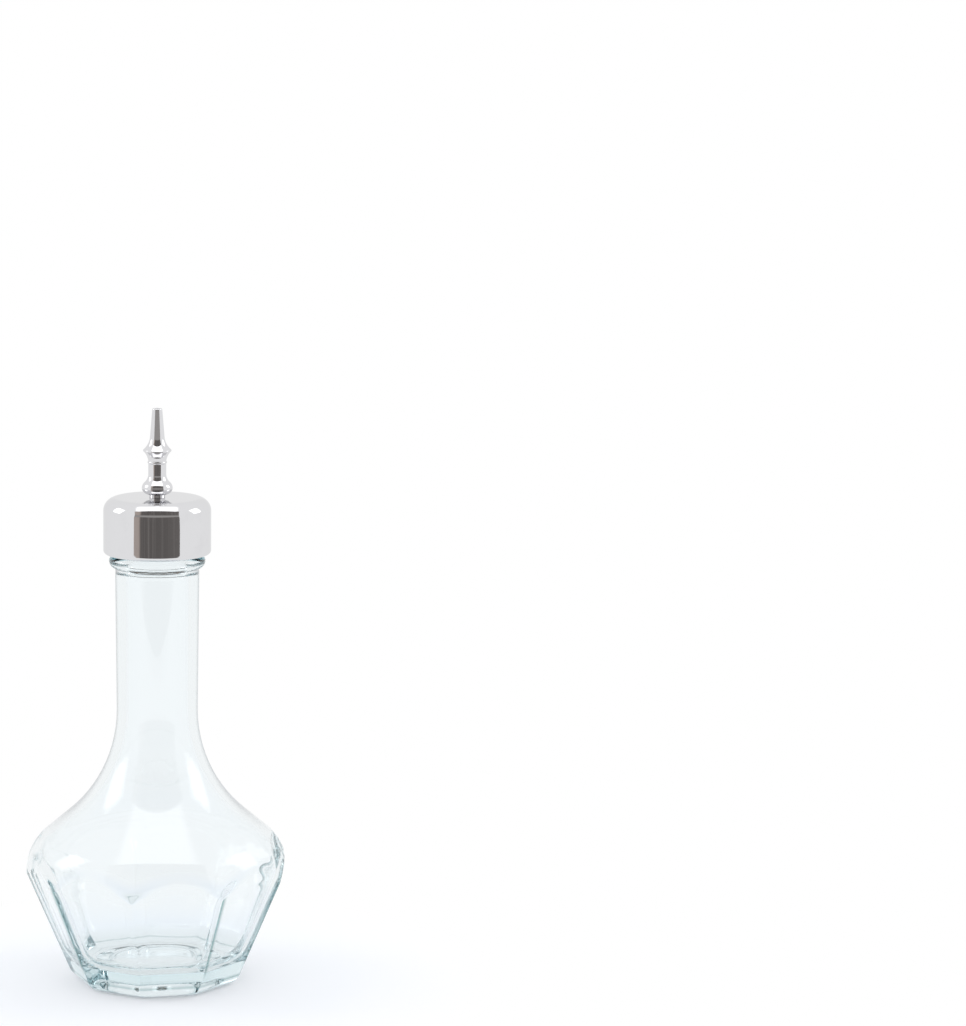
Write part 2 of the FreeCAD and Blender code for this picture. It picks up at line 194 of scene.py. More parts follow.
class StageSettings(bpy.types.PropertyGroup):
    """Camera, floor and light."""

    camera_azimuth: angle("Camera azimuth", 1.0, "Turn of the camera round the bottle")
    camera_distance: size("Camera distance", 1060.0, "From the bottle's axis to the camera, level")
    camera_height: size("Camera height", 294.0, "Height of the camera")
    camera_turn: angle("Camera turn", 4.573, "How far the camera looks past the bottle")
    camera_pitch: angle("Camera pitch", 9.0615, "How far the camera looks down")
    camera_roll: angle("Camera roll", 0.7217, "Lean of the camera about its own line of sight")
    lens: FloatProperty(name="Lens", description="Focal length", default=144.707, min=1.0,
                        subtype="DISTANCE_CAMERA", unit="CAMERA")
    floor_colour: colour("Floor", 0.92, 0.945, 0.985, "Floor near the bottle")
    floor_glow: factor("Floor glow", 0.6, "Share of the floor's light that no shadow dims")
    # painted shade: the floor under and near the bottle is greyer where the glass shows it
    under_shade_colour: colour("Under colour", 0.885, 0.91, 0.915, "Floor as it is seen through the glass")
    under_glass: factor("Under glass", 0.85, "Share that no shadow dims where glass lies before the floor")
    inner_loss: factor("Inner loss", 0.05, "Share that light loses when it is thrown back inside the glass")
    sky_level: factor("Sky level", 1.0, "Light of the white surroundings")
    lamp_power: FloatProperty(name="Lamp power", description="Power of each side lamp in watts",
                              default=1.3, min=0.0, unit="POWER")
    cloth_level: FloatProperty(name="Cloth level", description="Brightness of a lamp's cloth in reflections",
                               default=3.2, min=0.0)


class Wire:
    """A node's socket in Python arithmetic: each step of an expression adds a Math node."""

    def __init__(self, tree, socket=None):
        self.tree = tree
        self.socket = socket

    def add(self, kind, inputs=None, output=0, **settings):
        """Add a node: first its settings, then the values or links of its sockets."""
        node = self.tree.nodes.new(kind)
        for name, value in settings.items():
            setattr(node, name, value)
        for name, value in (inputs or {}).items():
            if isinstance(value, Wire):
                self.tree.links.new(value.socket, node.inputs[name])
            else:
                node.inputs[name].default_value = value
        return Wire(self.tree, node.outputs[output] if len(node.outputs) else None)

    def also(self, output):
        """Another output of the same node."""
        return Wire(self.tree, self.socket.node.outputs[output])

    def math(self, operation, *others):
        return self.add("ShaderNodeMath", dict(enumerate((self, *others))), operation=operation)

    def math_after(self, operation, other):
        return self.add("ShaderNodeMath", {0: other, 1: self}, operation=operation)

    __add__ = __radd__ = partialmethod(math, "ADD")
    __mul__ = __rmul__ = partialmethod(math, "MULTIPLY")
    __sub__ = partialmethod(math, "SUBTRACT")
    __rsub__ = partialmethod(math_after, "SUBTRACT")
    __truediv__ = partialmethod(math, "DIVIDE")
    __rtruediv__ = partialmethod(math_after, "DIVIDE")


def opaque(rgb, share=1.0):
    """A colour, or a darker or lighter share of it, as a socket takes it."""
    return (*(share * part for part in rgb), 1.0)


def mixed(share, first, second):
    """A colour between two, by a share."""
    return share.add("ShaderNodeMix", {0: share, 6: first, 7: second}, 2, data_type="RGBA")


def blended(share, first, second):
    """A shader between two, by a share."""
    return share.add("ShaderNodeMixShader", {0: share, 1: first, 2: second})


def noise(where, scale, detail=2.0, roughness=0.5):
    return where.add("ShaderNodeTexNoise", {
        "Vector": where, "Scale": scale, "Detail": detail, "Roughness": roughness}, "Fac")


def stretched(where, *scale):
    return where.add("ShaderNodeMapping", {"Vector": where, "Scale": scale})


def bump(height, strength, distance):
    return height.add("ShaderNodeBump", {"Height": height, "Strength": strength, "Distance": distance})


def between(value, low, high):
    """0 below the low value, 1 above the high one, and smooth in between."""
    return value.add("ShaderNodeMapRange", {"Value": value, "From Min": low, "From Max": high},
                     interpolation_type="SMOOTHSTEP")


def axis(where, letter):
    return where.add("ShaderNodeSeparateXYZ", {0: where}, letter)


def off_middle(turn, pitch):
    """Angle round the axis from the middle of the nearest flat."""
    return (turn - (turn / pitch).math("ROUND") * pitch).math("ABSOLUTE")


def attribute(start, name):
    return start.add("ShaderNodeAttribute", None, "Fac", attribute_name=name)


def emission(start, shade):
    return start.add("ShaderNodeEmission", {"Color": shade})


def light_path(start):
    return start.add("ShaderNodeLightPath", None, "Is Camera Ray")


def thrown_back(path):
    """1 for light that was reflected inside the glass, from any output of a Light Path node."""
    return (path.also("Glossy Depth").math("GREATER_THAN", 0.5)
            * path.also("Transmission Depth").math("GREATER_THAN", 0.5))


def new_material(name):
    """An empty material, and the place on the object to start its nodes from."""
    material = bpy.data.materials.new(name)
    material.use_nodes = True
    material.node_tree.nodes.clear()
    return material, Wire(material.node_tree).add("ShaderNodeTexCoord", None, "Object")


def close_material(shader, **volume):
    shader.add("ShaderNodeOutputMaterial", {"Surface": shader, **volume})


def principled(start, sockets):
    return start.add("ShaderNodeBsdfPrincipled", sockets)


def clear_glass(finish, facets):
    """Clear glass with a faint tint in its depth, and painted shade in its colour at its outline, along its
    corners and at its heel, where real glass bends light away.
    """
    material, where = new_material("clear_glass")
    ripple = noise(where, 48.0, 1.5, 0.4)
    haze = noise(where, 420.0, 3.0, 0.6)
    facing = where.add("ShaderNodeLayerWeight", {"Blend": 0.5}, "Facing")
    pitch = 2 * pi / facets
    x = axis(where, "X")
    beside = pitch / 2 - off_middle(x.also("Y").math("ARCTAN2", x), pitch)
    # painted shade: the colour darkens along the corners between facets and along the heel line
    painted_corner_line = (1 - between(beside / facing, 0.03, 0.12)) * between(facing, 0.34, 0.43)
    painted_dark_lines = (attribute(where, "corner") * painted_corner_line).math("MAXIMUM", attribute(where, "seam"))
    # painted shade: the colour darkens at the outline, where the wall is seen edge-on
    painted_rim_shade = attribute(where, "outline") * between(facing, 0.62, 0.93)
    tone = mixed(painted_rim_shade, opaque(finish.glass_wall), opaque(finish.glass_rim_shade))
    glass = principled(where, {
        "Base Color": mixed(painted_dark_lines, tone, opaque(finish.glass_corner_shade)),
        "Roughness": 0.012 * between(haze, 0.55, 0.8),
        "IOR": 1.5,
        "Transmission Weight": 1.0,
        "Normal": bump(ripple, 0.1, 0.6 * MM),
    })
    close_material(glass, Volume=where.add("ShaderNodeVolumeAbsorption", {
        "Color": opaque(finish.glass_tint), "Density": finish.glass_density}))
    return material


def polished_metal(finish):
    """Plated metal: mirror polish with faint turning lines, soft smears and a slightly uneven skin."""
    material, where = new_material("polished_plating")
    lines = noise(stretched(where, 60.0, 60.0, 5200.0), 1.0, 2.0, 0.5)
    smear = between(noise(where, 210.0, 3.0, 0.6), 0.5, 0.78)
    skin = noise(where, 260.0, 1.0, 0.4)
    close_material(principled(where, {
        "Base Color": mixed(smear * 0.5, opaque(finish.metal), opaque(finish.metal, 0.93)),
        "Metallic": 1.0,
        "Specular Tint": (0.9, 0.9, 0.9, 1.0),
        "Roughness": 0.03 + 0.02 * lines + 0.015 * smear,
        "Normal": bump(skin + 0.1 * lines, 0.04, 0.3 * MM),
    }))
    return material


def stem_steel(finish):
    """Turned steel: fine rings round the axis over a dull sheen."""
    material, where = new_material("stem_steel")
    rings = noise(stretched(where, 150.0, 150.0, 9000.0), 1.0, 3.0, 0.6)
    stain = between(noise(where, 300.0, 3.0, 0.6), 0.45, 0.8)
    close_material(principled(where, {
        "Base Color": mixed(stain * 0.6, opaque(finish.steel), opaque(finish.steel, 0.7)),
        "Metallic": 1.0,
        "Roughness": 0.2 + 0.14 * rings + 0.12 * stain,
        "Normal": bump(rings, 0.12, 0.1 * MM),
    }))
    return material


def natural_cork(finish):
    """Cork: warm mottled grain, dark pores of several sizes and a dry surface."""
    material, where = new_material("natural_cork")
    grain = noise(where, 900.0, 5.0, 0.65)
    cloud = noise(where, 190.0, 2.0, 0.5)
    cells = where.add("ShaderNodeTexVoronoi", {"Vector": where, "Scale": 1500.0, "Randomness": 1.0},
                      "Distance", feature="F1")
    pores = between(noise(stretched(where, 900.0, 900.0, 260.0), 1.0, 3.0, 0.7), 0.6, 0.7)
    light = mixed(between(cloud, 0.3, 0.7), opaque(finish.cork), opaque(finish.cork, 1.28))
    speckled = mixed(between(grain, 0.35, 0.7) * 0.55, light, opaque(finish.cork, 0.62))
    close_material(principled(where, {
        "Base Color": mixed(pores * 0.85, speckled, opaque(finish.cork_pits)),
        "Roughness": 0.78 + 0.18 * grain,
        "Normal": bump(grain * 0.4 + cells * 0.3 - pores, 0.5, 0.3 * MM),
    }))
    return material


def gasket_rubber(finish):
    """Soft pale gasket: faintly mottled and matt, with moulding grain."""
    material, where = new_material("gasket_rubber")
    grain = noise(where, 1800.0, 3.0, 0.6)
    mottle = between(noise(where, 240.0, 2.0, 0.5), 0.35, 0.75)
    close_material(principled(where, {
        "Base Color": mixed(mottle * 0.6, opaque(finish.gasket), opaque(finish.gasket, 0.86)),
        "Roughness": 0.5 + 0.2 * grain,
        "Normal": bump(grain, 0.18, 0.1 * MM),
    }))
    return material


def new_rule(name, *numbers):
    """An empty Geometry Nodes tree that takes a mesh, some numbers and a material and gives a mesh."""
    tree = bpy.data.node_groups.new(name, "GeometryNodeTree")
    tree.interface.new_socket("Geometry", in_out="INPUT", socket_type="NodeSocketGeometry")
    for number in numbers:
        tree.interface.new_socket(number, in_out="INPUT", socket_type="NodeSocketFloat")
    tree.interface.new_socket("Material", in_out="INPUT", socket_type="NodeSocketMaterial")
    tree.interface.new_socket("Geometry", in_out="OUTPUT", socket_type="NodeSocketGeometry")
    return tree, Wire(tree)


def named(start, name):
    return start.add("GeometryNodeInputNamedAttribute", {"Name": name}, data_type="FLOAT")


def given(start, name):
    return start.add("NodeGroupInput", None, name)


def cylinder_place(start):
    """Place of a point: X, Y, Z, its distance from the axis and its angle round it."""
    x = axis(start.add("GeometryNodeInputPosition"), "X")
    y, z = x.also("Y"), x.also("Z")
    return x, y, z, (x * x + y * y).math("SQRT"), y.math("ARCTAN2", x)


def close_rule(start, place, offset):
    """Move the points, then end the tree as one plain mesh with its material."""
    moved = start.add("GeometryNodeSetPosition", {
        "Geometry": given(start, "Geometry"), "Position": place, "Offset": offset})
    whole = start.add("GeometryNodeRealizeInstances", {0: moved})
    dressed = start.add("GeometryNodeSetMaterial", {
        "Geometry": whole, "Material": given(start, "Material")})
    start.add("NodeGroupOutput", {0: dressed})


def at_radius(x, y, z, radius, wanted):
    """The point moved straight out from the axis to a wanted distance."""
    scale = wanted / radius.math("MAXIMUM", 1e-9)
    return x.add("ShaderNodeCombineXYZ", {0: x * scale, 1: y * scale, 2: z})


def flat_rule():
    """Tree that cuts even flats round a turned blank, with melted edges and a wavy inside.

    The blank's attributes say how far the flat, the blank and the melting reach at each ring.
    """
    tree, start = new_rule("flat_rule", "Flats", "Rim softness", "Waviness")
    x, y, z, radius, turn = cylinder_place(start)
    pitch = 2 * pi / given(start, "Flats")
    off = off_middle(turn, pitch)
    flat = named(start, "flat_reach")
    near = flat / off.math("COSINE")
    beside = flat / (pitch - off).math("COSINE")
    cut = near.math("SMOOTH_MIN", beside, named(start, "melt_reach"))
    melt = given(start, "Rim softness") * (1 - 1.9 * off / pitch)
    cut = cut.math("SMOOTH_MIN", named(start, "blank_reach"), melt)
    wanted = radius + named(start, "flat_share") * (cut - radius)
    wave = start.add("ShaderNodeTexNoise", {"Scale": 70.0, "Detail": 1.0, "Roughness": 0.4}, "Fac")
    lift = (wave - 0.5) * given(start, "Waviness") * named(start, "wave_share")
    offset = start.add("ShaderNodeVectorMath", {
        0: start.add("GeometryNodeInputNormal"), "Scale": lift}, operation="SCALE")
    close_rule(start, at_radius(x, y, z, radius, wanted), offset)
    return tree


def thread_rule():
    """Tree that cuts a screw thread into a turned stem where its attribute says so."""
    tree, start = new_rule("thread_rule", "Pitch", "Depth")
    x, y, z, radius, turn = cylinder_place(start)
    along = z / given(start, "Pitch") - turn / (2 * pi)
    groove = along.math("PINGPONG", 0.5) * 2
    wanted = radius - groove * given(start, "Depth") * named(start, "thread_share")
    close_rule(start, at_radius(x, y, z, radius, wanted), (0.0, 0.0, 0.0))
    return tree


def apply_rule(piece, tree, values):
    """Run a Geometry Nodes tree on a piece, and keep what it makes as a plain mesh."""
    modifier = piece.modifiers.new(tree.name, "NODES")
    modifier.node_group = tree
    sockets = {item.name: item.identifier for item in tree.interface.items_tree if item.in_out == "INPUT"}
    for name, value in values.items():
        modifier[sockets[name]] = value
    blank = piece.data
    graph = bpy.context.evaluated_depsgraph_get()
    made = bpy.data.meshes.new_from_object(piece.evaluated_get(graph))
    piece.modifiers.remove(modifier)
    piece.data = made
    made.name = piece.name
    bpy.data.meshes.remove(blank)
    bpy.data.node_groups.remove(tree)
    for spent in [item.name for item in made.attributes if item.name.endswith(("_reach", "_share"))]:
        made.attributes.remove(made.attributes[spent])


def arc_points(start, end, radius, side, step):
    """Points along the short arc between two points, centre on the left or right of the way."""
    chord = end - start
    across = Vector((-chord.y, chord.x)).normalized()
    rise = sqrt(max(radius ** 2 - chord.length_squared / 4, 0.0))
    centre = (start + end) / 2 + across * (rise if side == "left" else -rise)
    first, last = (atan2(point.y - centre.y, point.x - centre.x) for point in (start, end))
    sweep = (last - first + pi) % (2 * pi) - pi
    count = max(2, ceil(abs(sweep) / step))
    angles = [first + sweep * number / count for number in range(count)]
    return [centre + Vector((cos(turn), sin(turn))) * radius for turn in angles]


def trace(corners, longest=1.0, arc_step=6.0):
    """Points along an outline of (radius, height) corners.

    A third entry bends the way to the next corner: the radius of the bend, and the side of the way
    on which its centre lies. No straight run is longer than the given length, and no step of a bend
    turns by more than the given degrees.
    """
    points = []
    for here, there in zip(corners, corners[1:]):
        start, end = Vector(here[:2]), Vector(there[:2])
        if len(here) == 3:
            points += arc_points(start, end, *here[2], radians(arc_step))
        else:
            count = max(1, ceil((end - start).length / longest))
            points += [start.lerp(end, number / count) for number in range(count)]
    return points + [Vector(corners[-1][:2])]


def softened(points, reach):
    """A closed outline with its sharp corners rounded, over a reach each way."""
    result = []
    for index, point in enumerate(points):
        before, after = points[index - 1] - point, points[(index + 1) % len(points)] - point
        if (-before).angle(after) < radians(20.0):
            result.append(point)
            continue
        near = point + before.normalized() * min(reach, 0.45 * before.length)
        far = point + after.normalized() * min(reach, 0.45 * after.length)
        for number in range(5):
            share = number / 4
            result.append(near.lerp(point, share).lerp(point.lerp(far, share), share))
    return result


def even_columns(count):
    return [2 * pi * number / count for number in range(count)]


def flat_columns(flats, steps, crowd=1.8):
    """Angles round the axis, close together at the edges between flats."""
    half = pi / flats
    angles = []
    for flat in range(flats):
        for number in range(2 * steps):
            share = number / steps - 1
            off = copysign(1 - (1 - abs(share)) ** crowd, share)
            angles.append(2 * half * flat + half * off)
    return angles


def turned(name, points, columns, closed=True, shares=None):
    """A piece made on the lathe from an outline that is closed, or that starts and ends on the axis.

    Shares are values for each point of the outline, kept as attributes for a rule or a material to read.
    """
    places, rings = [], []
    for radius, height in points:
        if radius < 1e-8:
            rings.append([len(places)] * len(columns))
            places.append((0.0, 0.0, height))
        else:
            rings.append(list(range(len(places), len(places) + len(columns))))
            places += [(radius * cos(turn), radius * sin(turn), height) for turn in columns]
    faces = []
    pairs = list(zip(rings, rings[1:])) + ([(rings[-1], rings[0])] if closed else [])
    for lower, upper in pairs:
        for column in range(len(columns)):
            following = (column + 1) % len(columns)
            corners = [lower[column], lower[following], upper[following], upper[column]]
            faces.append(list(dict.fromkeys(corners)))
    mesh = bpy.data.meshes.new(name)
    mesh.from_pydata(places, [], faces)
    for share, values in (shares or {}).items():
        spread = [0.0] * len(places)
        for ring, value in zip(rings, values):
            for vertex in ring:
                spread[vertex] = value
        mesh.attributes.new(share, "FLOAT", "POINT").data.foreach_set("value", spread)
    face_outwards(mesh)
    mesh.shade_smooth()
    return linked(name, mesh)


def face_outwards(mesh):
    """Turn the faces of a closed mesh to the outside."""
    work = bmesh.new()
    work.from_mesh(mesh)
    if work.calc_volume(signed=True) < 0:
        bmesh.ops.reverse_faces(work, faces=work.faces)
    work.to_mesh(mesh)
    work.free()


def linked(name, data):
    thing = bpy.data.objects.new(name, data)
    bpy.context.scene.collection.objects.link(thing)
    return thing


def hand_over(piece, node, body):
    """Let a piece stand for its CAD node, on its body."""
    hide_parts(node)
    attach(piece, body)


def flat_ring(point, flat, melt, share=1.0, **values):
    """A ring of a blank that flats cut: its place, and what the rule needs to know there."""
    cut = {"blank_reach": point.x, "flat_reach": flat, "melt_reach": melt, "flat_share": share}
    return point, {**cut, **values}


def cut_flats(name, rings, flats, steps, closed, values):
    """A turned piece with even flats cut round it."""
    kinds = sorted({kind for _, known in rings for kind in known})
    shares = {kind: [known.get(kind, 0.0) for _, known in rings] for kind in kinds}
    piece = turned(name, [point for point, _ in rings], flat_columns(flats, steps), closed, shares)
    apply_rule(piece, flat_rule(), {"Flats": float(flats), **values})
    return piece


def closed_outline(corners, softness, longest=1.0):
    """Outline from corner to corner and back to the first, with its sharp corners rounded."""
    return softened(trace([*corners, corners[0]], longest)[:-1], softness)


def box_outline(inner, outer, low, high, softness):
    """Outline of a plain ring between two radii and two heights."""
    return closed_outline([(inner, low), (outer, low), (outer, high), (inner, high)], softness)


def lathe_piece(name, points, columns, material):
    """A turned piece with evenly spaced columns, in one material."""
    piece = turned(name, points, even_columns(columns))
    piece.data.materials.append(material)
    return piece


# Steps between the rings of the glass, with those round its bends in degrees
LONGEST_RUN = 2 * MM
BEND_STEP, PUSH_UP_STEP, HEEL_STEP = 4.0, 2.5, 3.0
RING_STEP, FINE_STEP = 1 * MM, 0.3 * MM
FINE_BELOW_BELLY = 5 * MM
FACETS_ON_SHOULDER = 0.65
BEARING_STEPS = 6

# Painted shade lines in the glass's colour: their strength, where they start and end, and the lengths over
# which they fade
HEEL_LINE_WIDTH, HEEL_LINE_SHARE = 0.45 * MM, 0.8
CORNER_START, CORNER_PAST_BELLY, CORNER_FADE = 5 * MM, 2 * MM, 3 * MM
OUTLINE_FADE = 8 * MM

# Unevenness of the inside: how far it reaches, and the lengths over which it fades
WAVES_UP_BORE, WAVE_FADE = 20 * MM, 30 * MM
INNER_FACET_FADE = 8 * MM
ROUND_FLOOR, FLOOR_FADE = 9 * MM, 7 * MM


def clamped(value):
    return min(1.0, max(0.0, value))


def foot_rings(glass):
    """Push-up, bearing ring and heel of the glass, from the axis to the facets."""
    lean, side = glass.facet_lean, glass.push_up_slope
    heel_reach = glass.heel_round / tan((pi / 2 + lean) / 2)
    heel_start = glass.facet_foot - heel_reach
    heel_end = (glass.facet_foot + heel_reach * sin(lean), heel_reach * cos(lean))
    push_up = heel_start - glass.bearing_width
    top = push_up - glass.push_up_depth / tan(side) - glass.push_up_round * tan(side / 2)
    rings = [(point, {}) for point in trace([
        (0.0, glass.push_up_depth),
        (top, glass.push_up_depth, (glass.push_up_round, "right")),
        (top + glass.push_up_round * sin(side),
         glass.push_up_depth - glass.push_up_round * (1 - cos(side))),
        (push_up, 0.0),
    ], arc_step=PUSH_UP_STEP)]
    for number in range(1, BEARING_STEPS):
        share = number / BEARING_STEPS
        reach = push_up + glass.bearing_width * share
        eased = share * share * (3 - 2 * share)
        rings.append(flat_ring(Vector((reach, 0.0)), reach, glass.edge_softness, eased))
    for point in trace([(heel_start, 0.0, (glass.heel_round, "left")), heel_end], arc_step=HEEL_STEP):
        # painted shade: a line of darker colour along the top of the heel, where real glass bends light away
        seam = HEEL_LINE_SHARE * clamped(1 - (heel_end[1] - point.y) / HEEL_LINE_WIDTH)
        blank = Vector((glass.belly_radius, point.y))
        rings.append(flat_ring(blank, point.x, glass.edge_softness, seam=seam))
    return rings, heel_end[1]


def facet_rings(glass, height):
    """The facets, from a height at the heel to where they run out on the shoulder."""
    rings = []
    while height < glass.belly_height + FACETS_ON_SHOULDER * glass.shoulder_curve:
        height += FINE_STEP if height > glass.belly_height - FINE_BELOW_BELLY else RING_STEP
        bend = max(0.0, height - glass.belly_height)
        drop = glass.shoulder_curve - sqrt(glass.shoulder_curve ** 2 - bend ** 2)
        blank = Vector((glass.belly_radius - drop, height))
        flat = glass.facet_foot + height * tan(glass.facet_lean)
        # painted shade along the corners between facets, fading in above the heel and out past the belly
        inside_ends = min(height - CORNER_START, glass.belly_height + CORNER_PAST_BELLY - height)
        corner = clamped(inside_ends / CORNER_FADE)
        rings.append(flat_ring(blank, flat, glass.edge_softness, corner=corner))
    return rings


def shoulder_foot(glass):
    """Where the round shoulder turns into the straight one."""
    return (glass.belly_radius - glass.shoulder_curve * (1 - cos(glass.shoulder_slope)),
            glass.belly_height + glass.shoulder_curve * sin(glass.shoulder_slope))


def flare(foot, root, curve, slope):
    """Where a straight shoulder turns into its hollow curve, and the height at which that curve ends."""
    radius = root + curve * (1 - cos(slope))
    top = (radius, foot[1] + (foot[0] - radius) / tan(slope))
    return top, top[1] + curve * sin(slope)


def neck_rings(glass, last):
    """Shoulder, neck, bead and lip, from the last point of the facets to the bore."""
    foot = shoulder_foot(glass)
    slope_top, neck_foot = flare(foot, glass.neck_root, glass.flare_curve, glass.shoulder_slope)
    lip_radius, lip_foot = glass.neck_top + glass.lip_stand, LIP_TOP - glass.lip_depth
    bead_height = LIP_TOP - glass.bead_drop
    bead_half = sqrt(glass.bead_curve ** 2 - (glass.bead_curve - glass.bead_stand) ** 2)
    lip_bend = (glass.lip_round, "left")
    points = trace([
        (last.x, last.y, (glass.shoulder_curve, "left")),
        foot,
        (*slope_top, (glass.flare_curve, "right")),
        (glass.neck_root, neck_foot),
        (glass.neck_top, bead_height - bead_half, (glass.bead_curve, "left")),
        (glass.neck_top, bead_height + bead_half),
        (glass.neck_top, lip_foot),
        (lip_radius - glass.lip_round, lip_foot, lip_bend),
        (lip_radius, lip_foot + glass.lip_round),
        (lip_radius, LIP_TOP - glass.lip_round, lip_bend),
        (lip_radius - glass.lip_round, LIP_TOP),
        (glass.bore_radius + glass.lip_round, LIP_TOP, lip_bend),
        (glass.bore_radius, LIP_TOP - glass.lip_round),
    ], LONGEST_RUN, BEND_STEP)
    rings = []
    for point in points[1:]:
        below_bead = point.y < bead_height - bead_half
        # painted shade at the outline below the bead, fading in above the facets
        outline = clamped((point.y - last.y) / OUTLINE_FADE) if below_bead else 0.0
        rings.append((point, {"outline": outline}))
    return rings


def inside_rings(glass):
    """Bore, inner shoulder, belly and floor, down to the axis."""
    lean, slope = glass.facet_lean, glass.shoulder_slope
    wall = glass.shoulder_wall
    outer = shoulder_foot(glass)
    foot = (outer[0] - wall * cos(slope), outer[1] - wall * sin(slope))
    inner_flare = glass.flare_curve + wall
    slope_top, bore_foot = flare(foot, glass.bore_radius, inner_flare, slope)
    wall_foot = glass.facet_foot - glass.facet_wall / cos(lean)
    belly_foot = wall_foot - glass.belly_curve / cos(lean)
    belly_reach = foot[0] + foot[1] * tan(slope) - glass.belly_curve / cos(slope)
    belly = Vector((0.0, (belly_reach - belly_foot) / (tan(lean) + tan(slope))))
    belly.x = belly_foot + belly.y * tan(lean)
    floor = Vector((0.0, glass.floor_height + glass.floor_round))
    floor.x = wall_foot - glass.floor_round / cos(lean) + floor.y * tan(lean)
    upward = Vector((cos(slope), sin(slope)))
    downward = Vector((cos(lean), -sin(lean)))
    points = trace([
        (glass.bore_radius, LIP_TOP - glass.lip_round),
        (glass.bore_radius, bore_foot, (inner_flare, "left")),
        slope_top,
        (*(belly + glass.belly_curve * upward), (glass.belly_curve, "right")),
        (*(belly + glass.belly_curve * downward),),
        (*(floor + glass.floor_round * downward), (glass.floor_round, "right")),
        (floor.x, glass.floor_height),
        (0.0, glass.floor_height),
    ], LONGEST_RUN, BEND_STEP)
    rings = []
    for point in points[1:]:
        below = clamped((belly.y - point.y) / INNER_FACET_FADE + 0.5)
        beside_floor = clamped((point.x - ROUND_FLOOR) / FLOOR_FADE)
        wave = clamped((bore_foot + WAVES_UP_BORE - point.y) / WAVE_FADE)
        rings.append(flat_ring(
            point, point.x, glass.inner_softness, glass.inner_facets * below * beside_floor,
            blank_reach=point.x / cos(pi / glass.facets), wave_share=wave))
    return rings


class DASHER_OT_glass(bpy.types.Operator):
    """Blow the glass: a turned blank with its facets, heel, neck, bead and lip"""

    bl_idname = "dasher.glass"
    bl_label = "Faceted Glass"

    def execute(self, context):
        glass = context.scene.dasher_glass
        rings, heel_height = foot_rings(glass)
        rings += facet_rings(glass, heel_height)
        rings += neck_rings(glass, rings[-1][0])
        rings += inside_rings(glass)
        piece = cut_flats("faceted_glass", rings, glass.facets, steps=14, closed=False, values={
            "Rim softness": glass.rim_softness,
            "Waviness": glass.waviness,
            "Material": clear_glass(context.scene.dasher_finishes, glass.facets),
        })
        hand_over(piece, "glass_bottle", "bottle")
        return {"FINISHED"}


class DASHER_OT_cap(bpy.types.Operator):
    """Press the cap: one sheet with a round crown and a rolled lower edge"""

    bl_idname = "dasher.cap"
    bl_label = "Pressed Cap"

    def execute(self, context):
        top = context.scene.dasher_top
        flat = top.cap_radius - top.crown_round
        foot = CROWN_TOP - top.cap_height
        hem = top.cap_radius - top.hem_round
        inside = top.cap_radius - top.cap_sheet
        bend = CROWN_TOP - top.crown_round
        points = closed_outline([
            (top.stem_hole, CROWN_UNDER),
            (flat, CROWN_UNDER, (top.crown_round - top.cap_sheet, "right")),
            (inside, bend),
            (inside, foot + top.hem_round, (top.hem_round - top.cap_sheet, "right")),
            (hem, foot + top.cap_sheet),
            (hem, foot, (top.hem_round, "left")),
            (top.cap_radius, foot + top.hem_round),
            (top.cap_radius, bend, (top.crown_round, "left")),
            (flat, CROWN_TOP),
            (top.stem_hole, CROWN_TOP),
        ], top.edge_softness, 1.5 * MM)
        piece = lathe_piece("pressed_cap", points, 192, polished(context))
        hand_over(piece, "cap_shell", "dasher_top")
        return {"FINISHED"}


class DASHER_OT_spout(bpy.types.Operator):
    """Turn the spout: neck, knob, waist, saucer and nozzle, bored through"""

    bl_idname = "dasher.spout"
    bl_label = "Turned Spout"

    def execute(self, context):
        spout, top = context.scene.dasher_spout, context.scene.dasher_top
        corners = [
            (top.stem_hole, 0.0),
            (spout.neck_radius, 0.0),
            (spout.neck_radius, spout.neck_height, (spout.knob_curve, "left")),
            (spout.knob_radius, spout.knob_height, (spout.knob_curve, "left")),
            (spout.knob_top_radius, spout.knob_top_height, (spout.waist_curve, "right")),
            (spout.waist_radius, spout.waist_foot),
            (spout.waist_radius, spout.waist_top, (spout.collar_curve, "left")),
            (spout.waist_radius, spout.waist_top + spout.collar_height, (spout.saucer_curve, "right")),
            (spout.saucer_radius, spout.saucer_height),
            (spout.saucer_radius, spout.saucer_height + spout.saucer_rim, (spout.cone_curve, "right")),
            (spout.nozzle_radius, spout.flare_height),
            (spout.tip_radius, spout.height - spout.tip_round, (spout.tip_round, "left")),
            (spout.tip_radius - spout.tip_round, spout.height),
            (spout.bore, spout.height),
            (spout.bore, spout.socket_depth),
            (top.stem_hole, spout.socket_depth),
        ]
        placed = [(corner[0], CROWN_TOP + corner[1], *corner[2:]) for corner in corners]
        points = closed_outline(placed, 0.6 * top.edge_softness, 0.8 * MM)
        piece = lathe_piece("turned_spout", points, 120, polished(context))
        hand_over(piece, "spout", "dasher_top")
        return {"FINISHED"}


def polished(context):
    """The polished metal, made once for the cap and the spout."""
    return bpy.data.materials.get("polished_plating") or polished_metal(context.scene.dasher_finishes)


class DASHER_OT_gasket(bpy.types.Operator):
    """Lay the soft gasket on the lip"""

    bl_idname = "dasher.gasket"
    bl_label = "Gasket"

    def execute(self, context):
        top = context.scene.dasher_top
        points = box_outline(top.gasket_inner, top.gasket_outer, LIP_TOP, CROWN_UNDER, 2 * top.edge_softness)
        piece = lathe_piece("soft_gasket", points, 144, gasket_rubber(context.scene.dasher_finishes))
        hand_over(piece, "cap_gasket", "seal_ring")
        return {"FINISHED"}


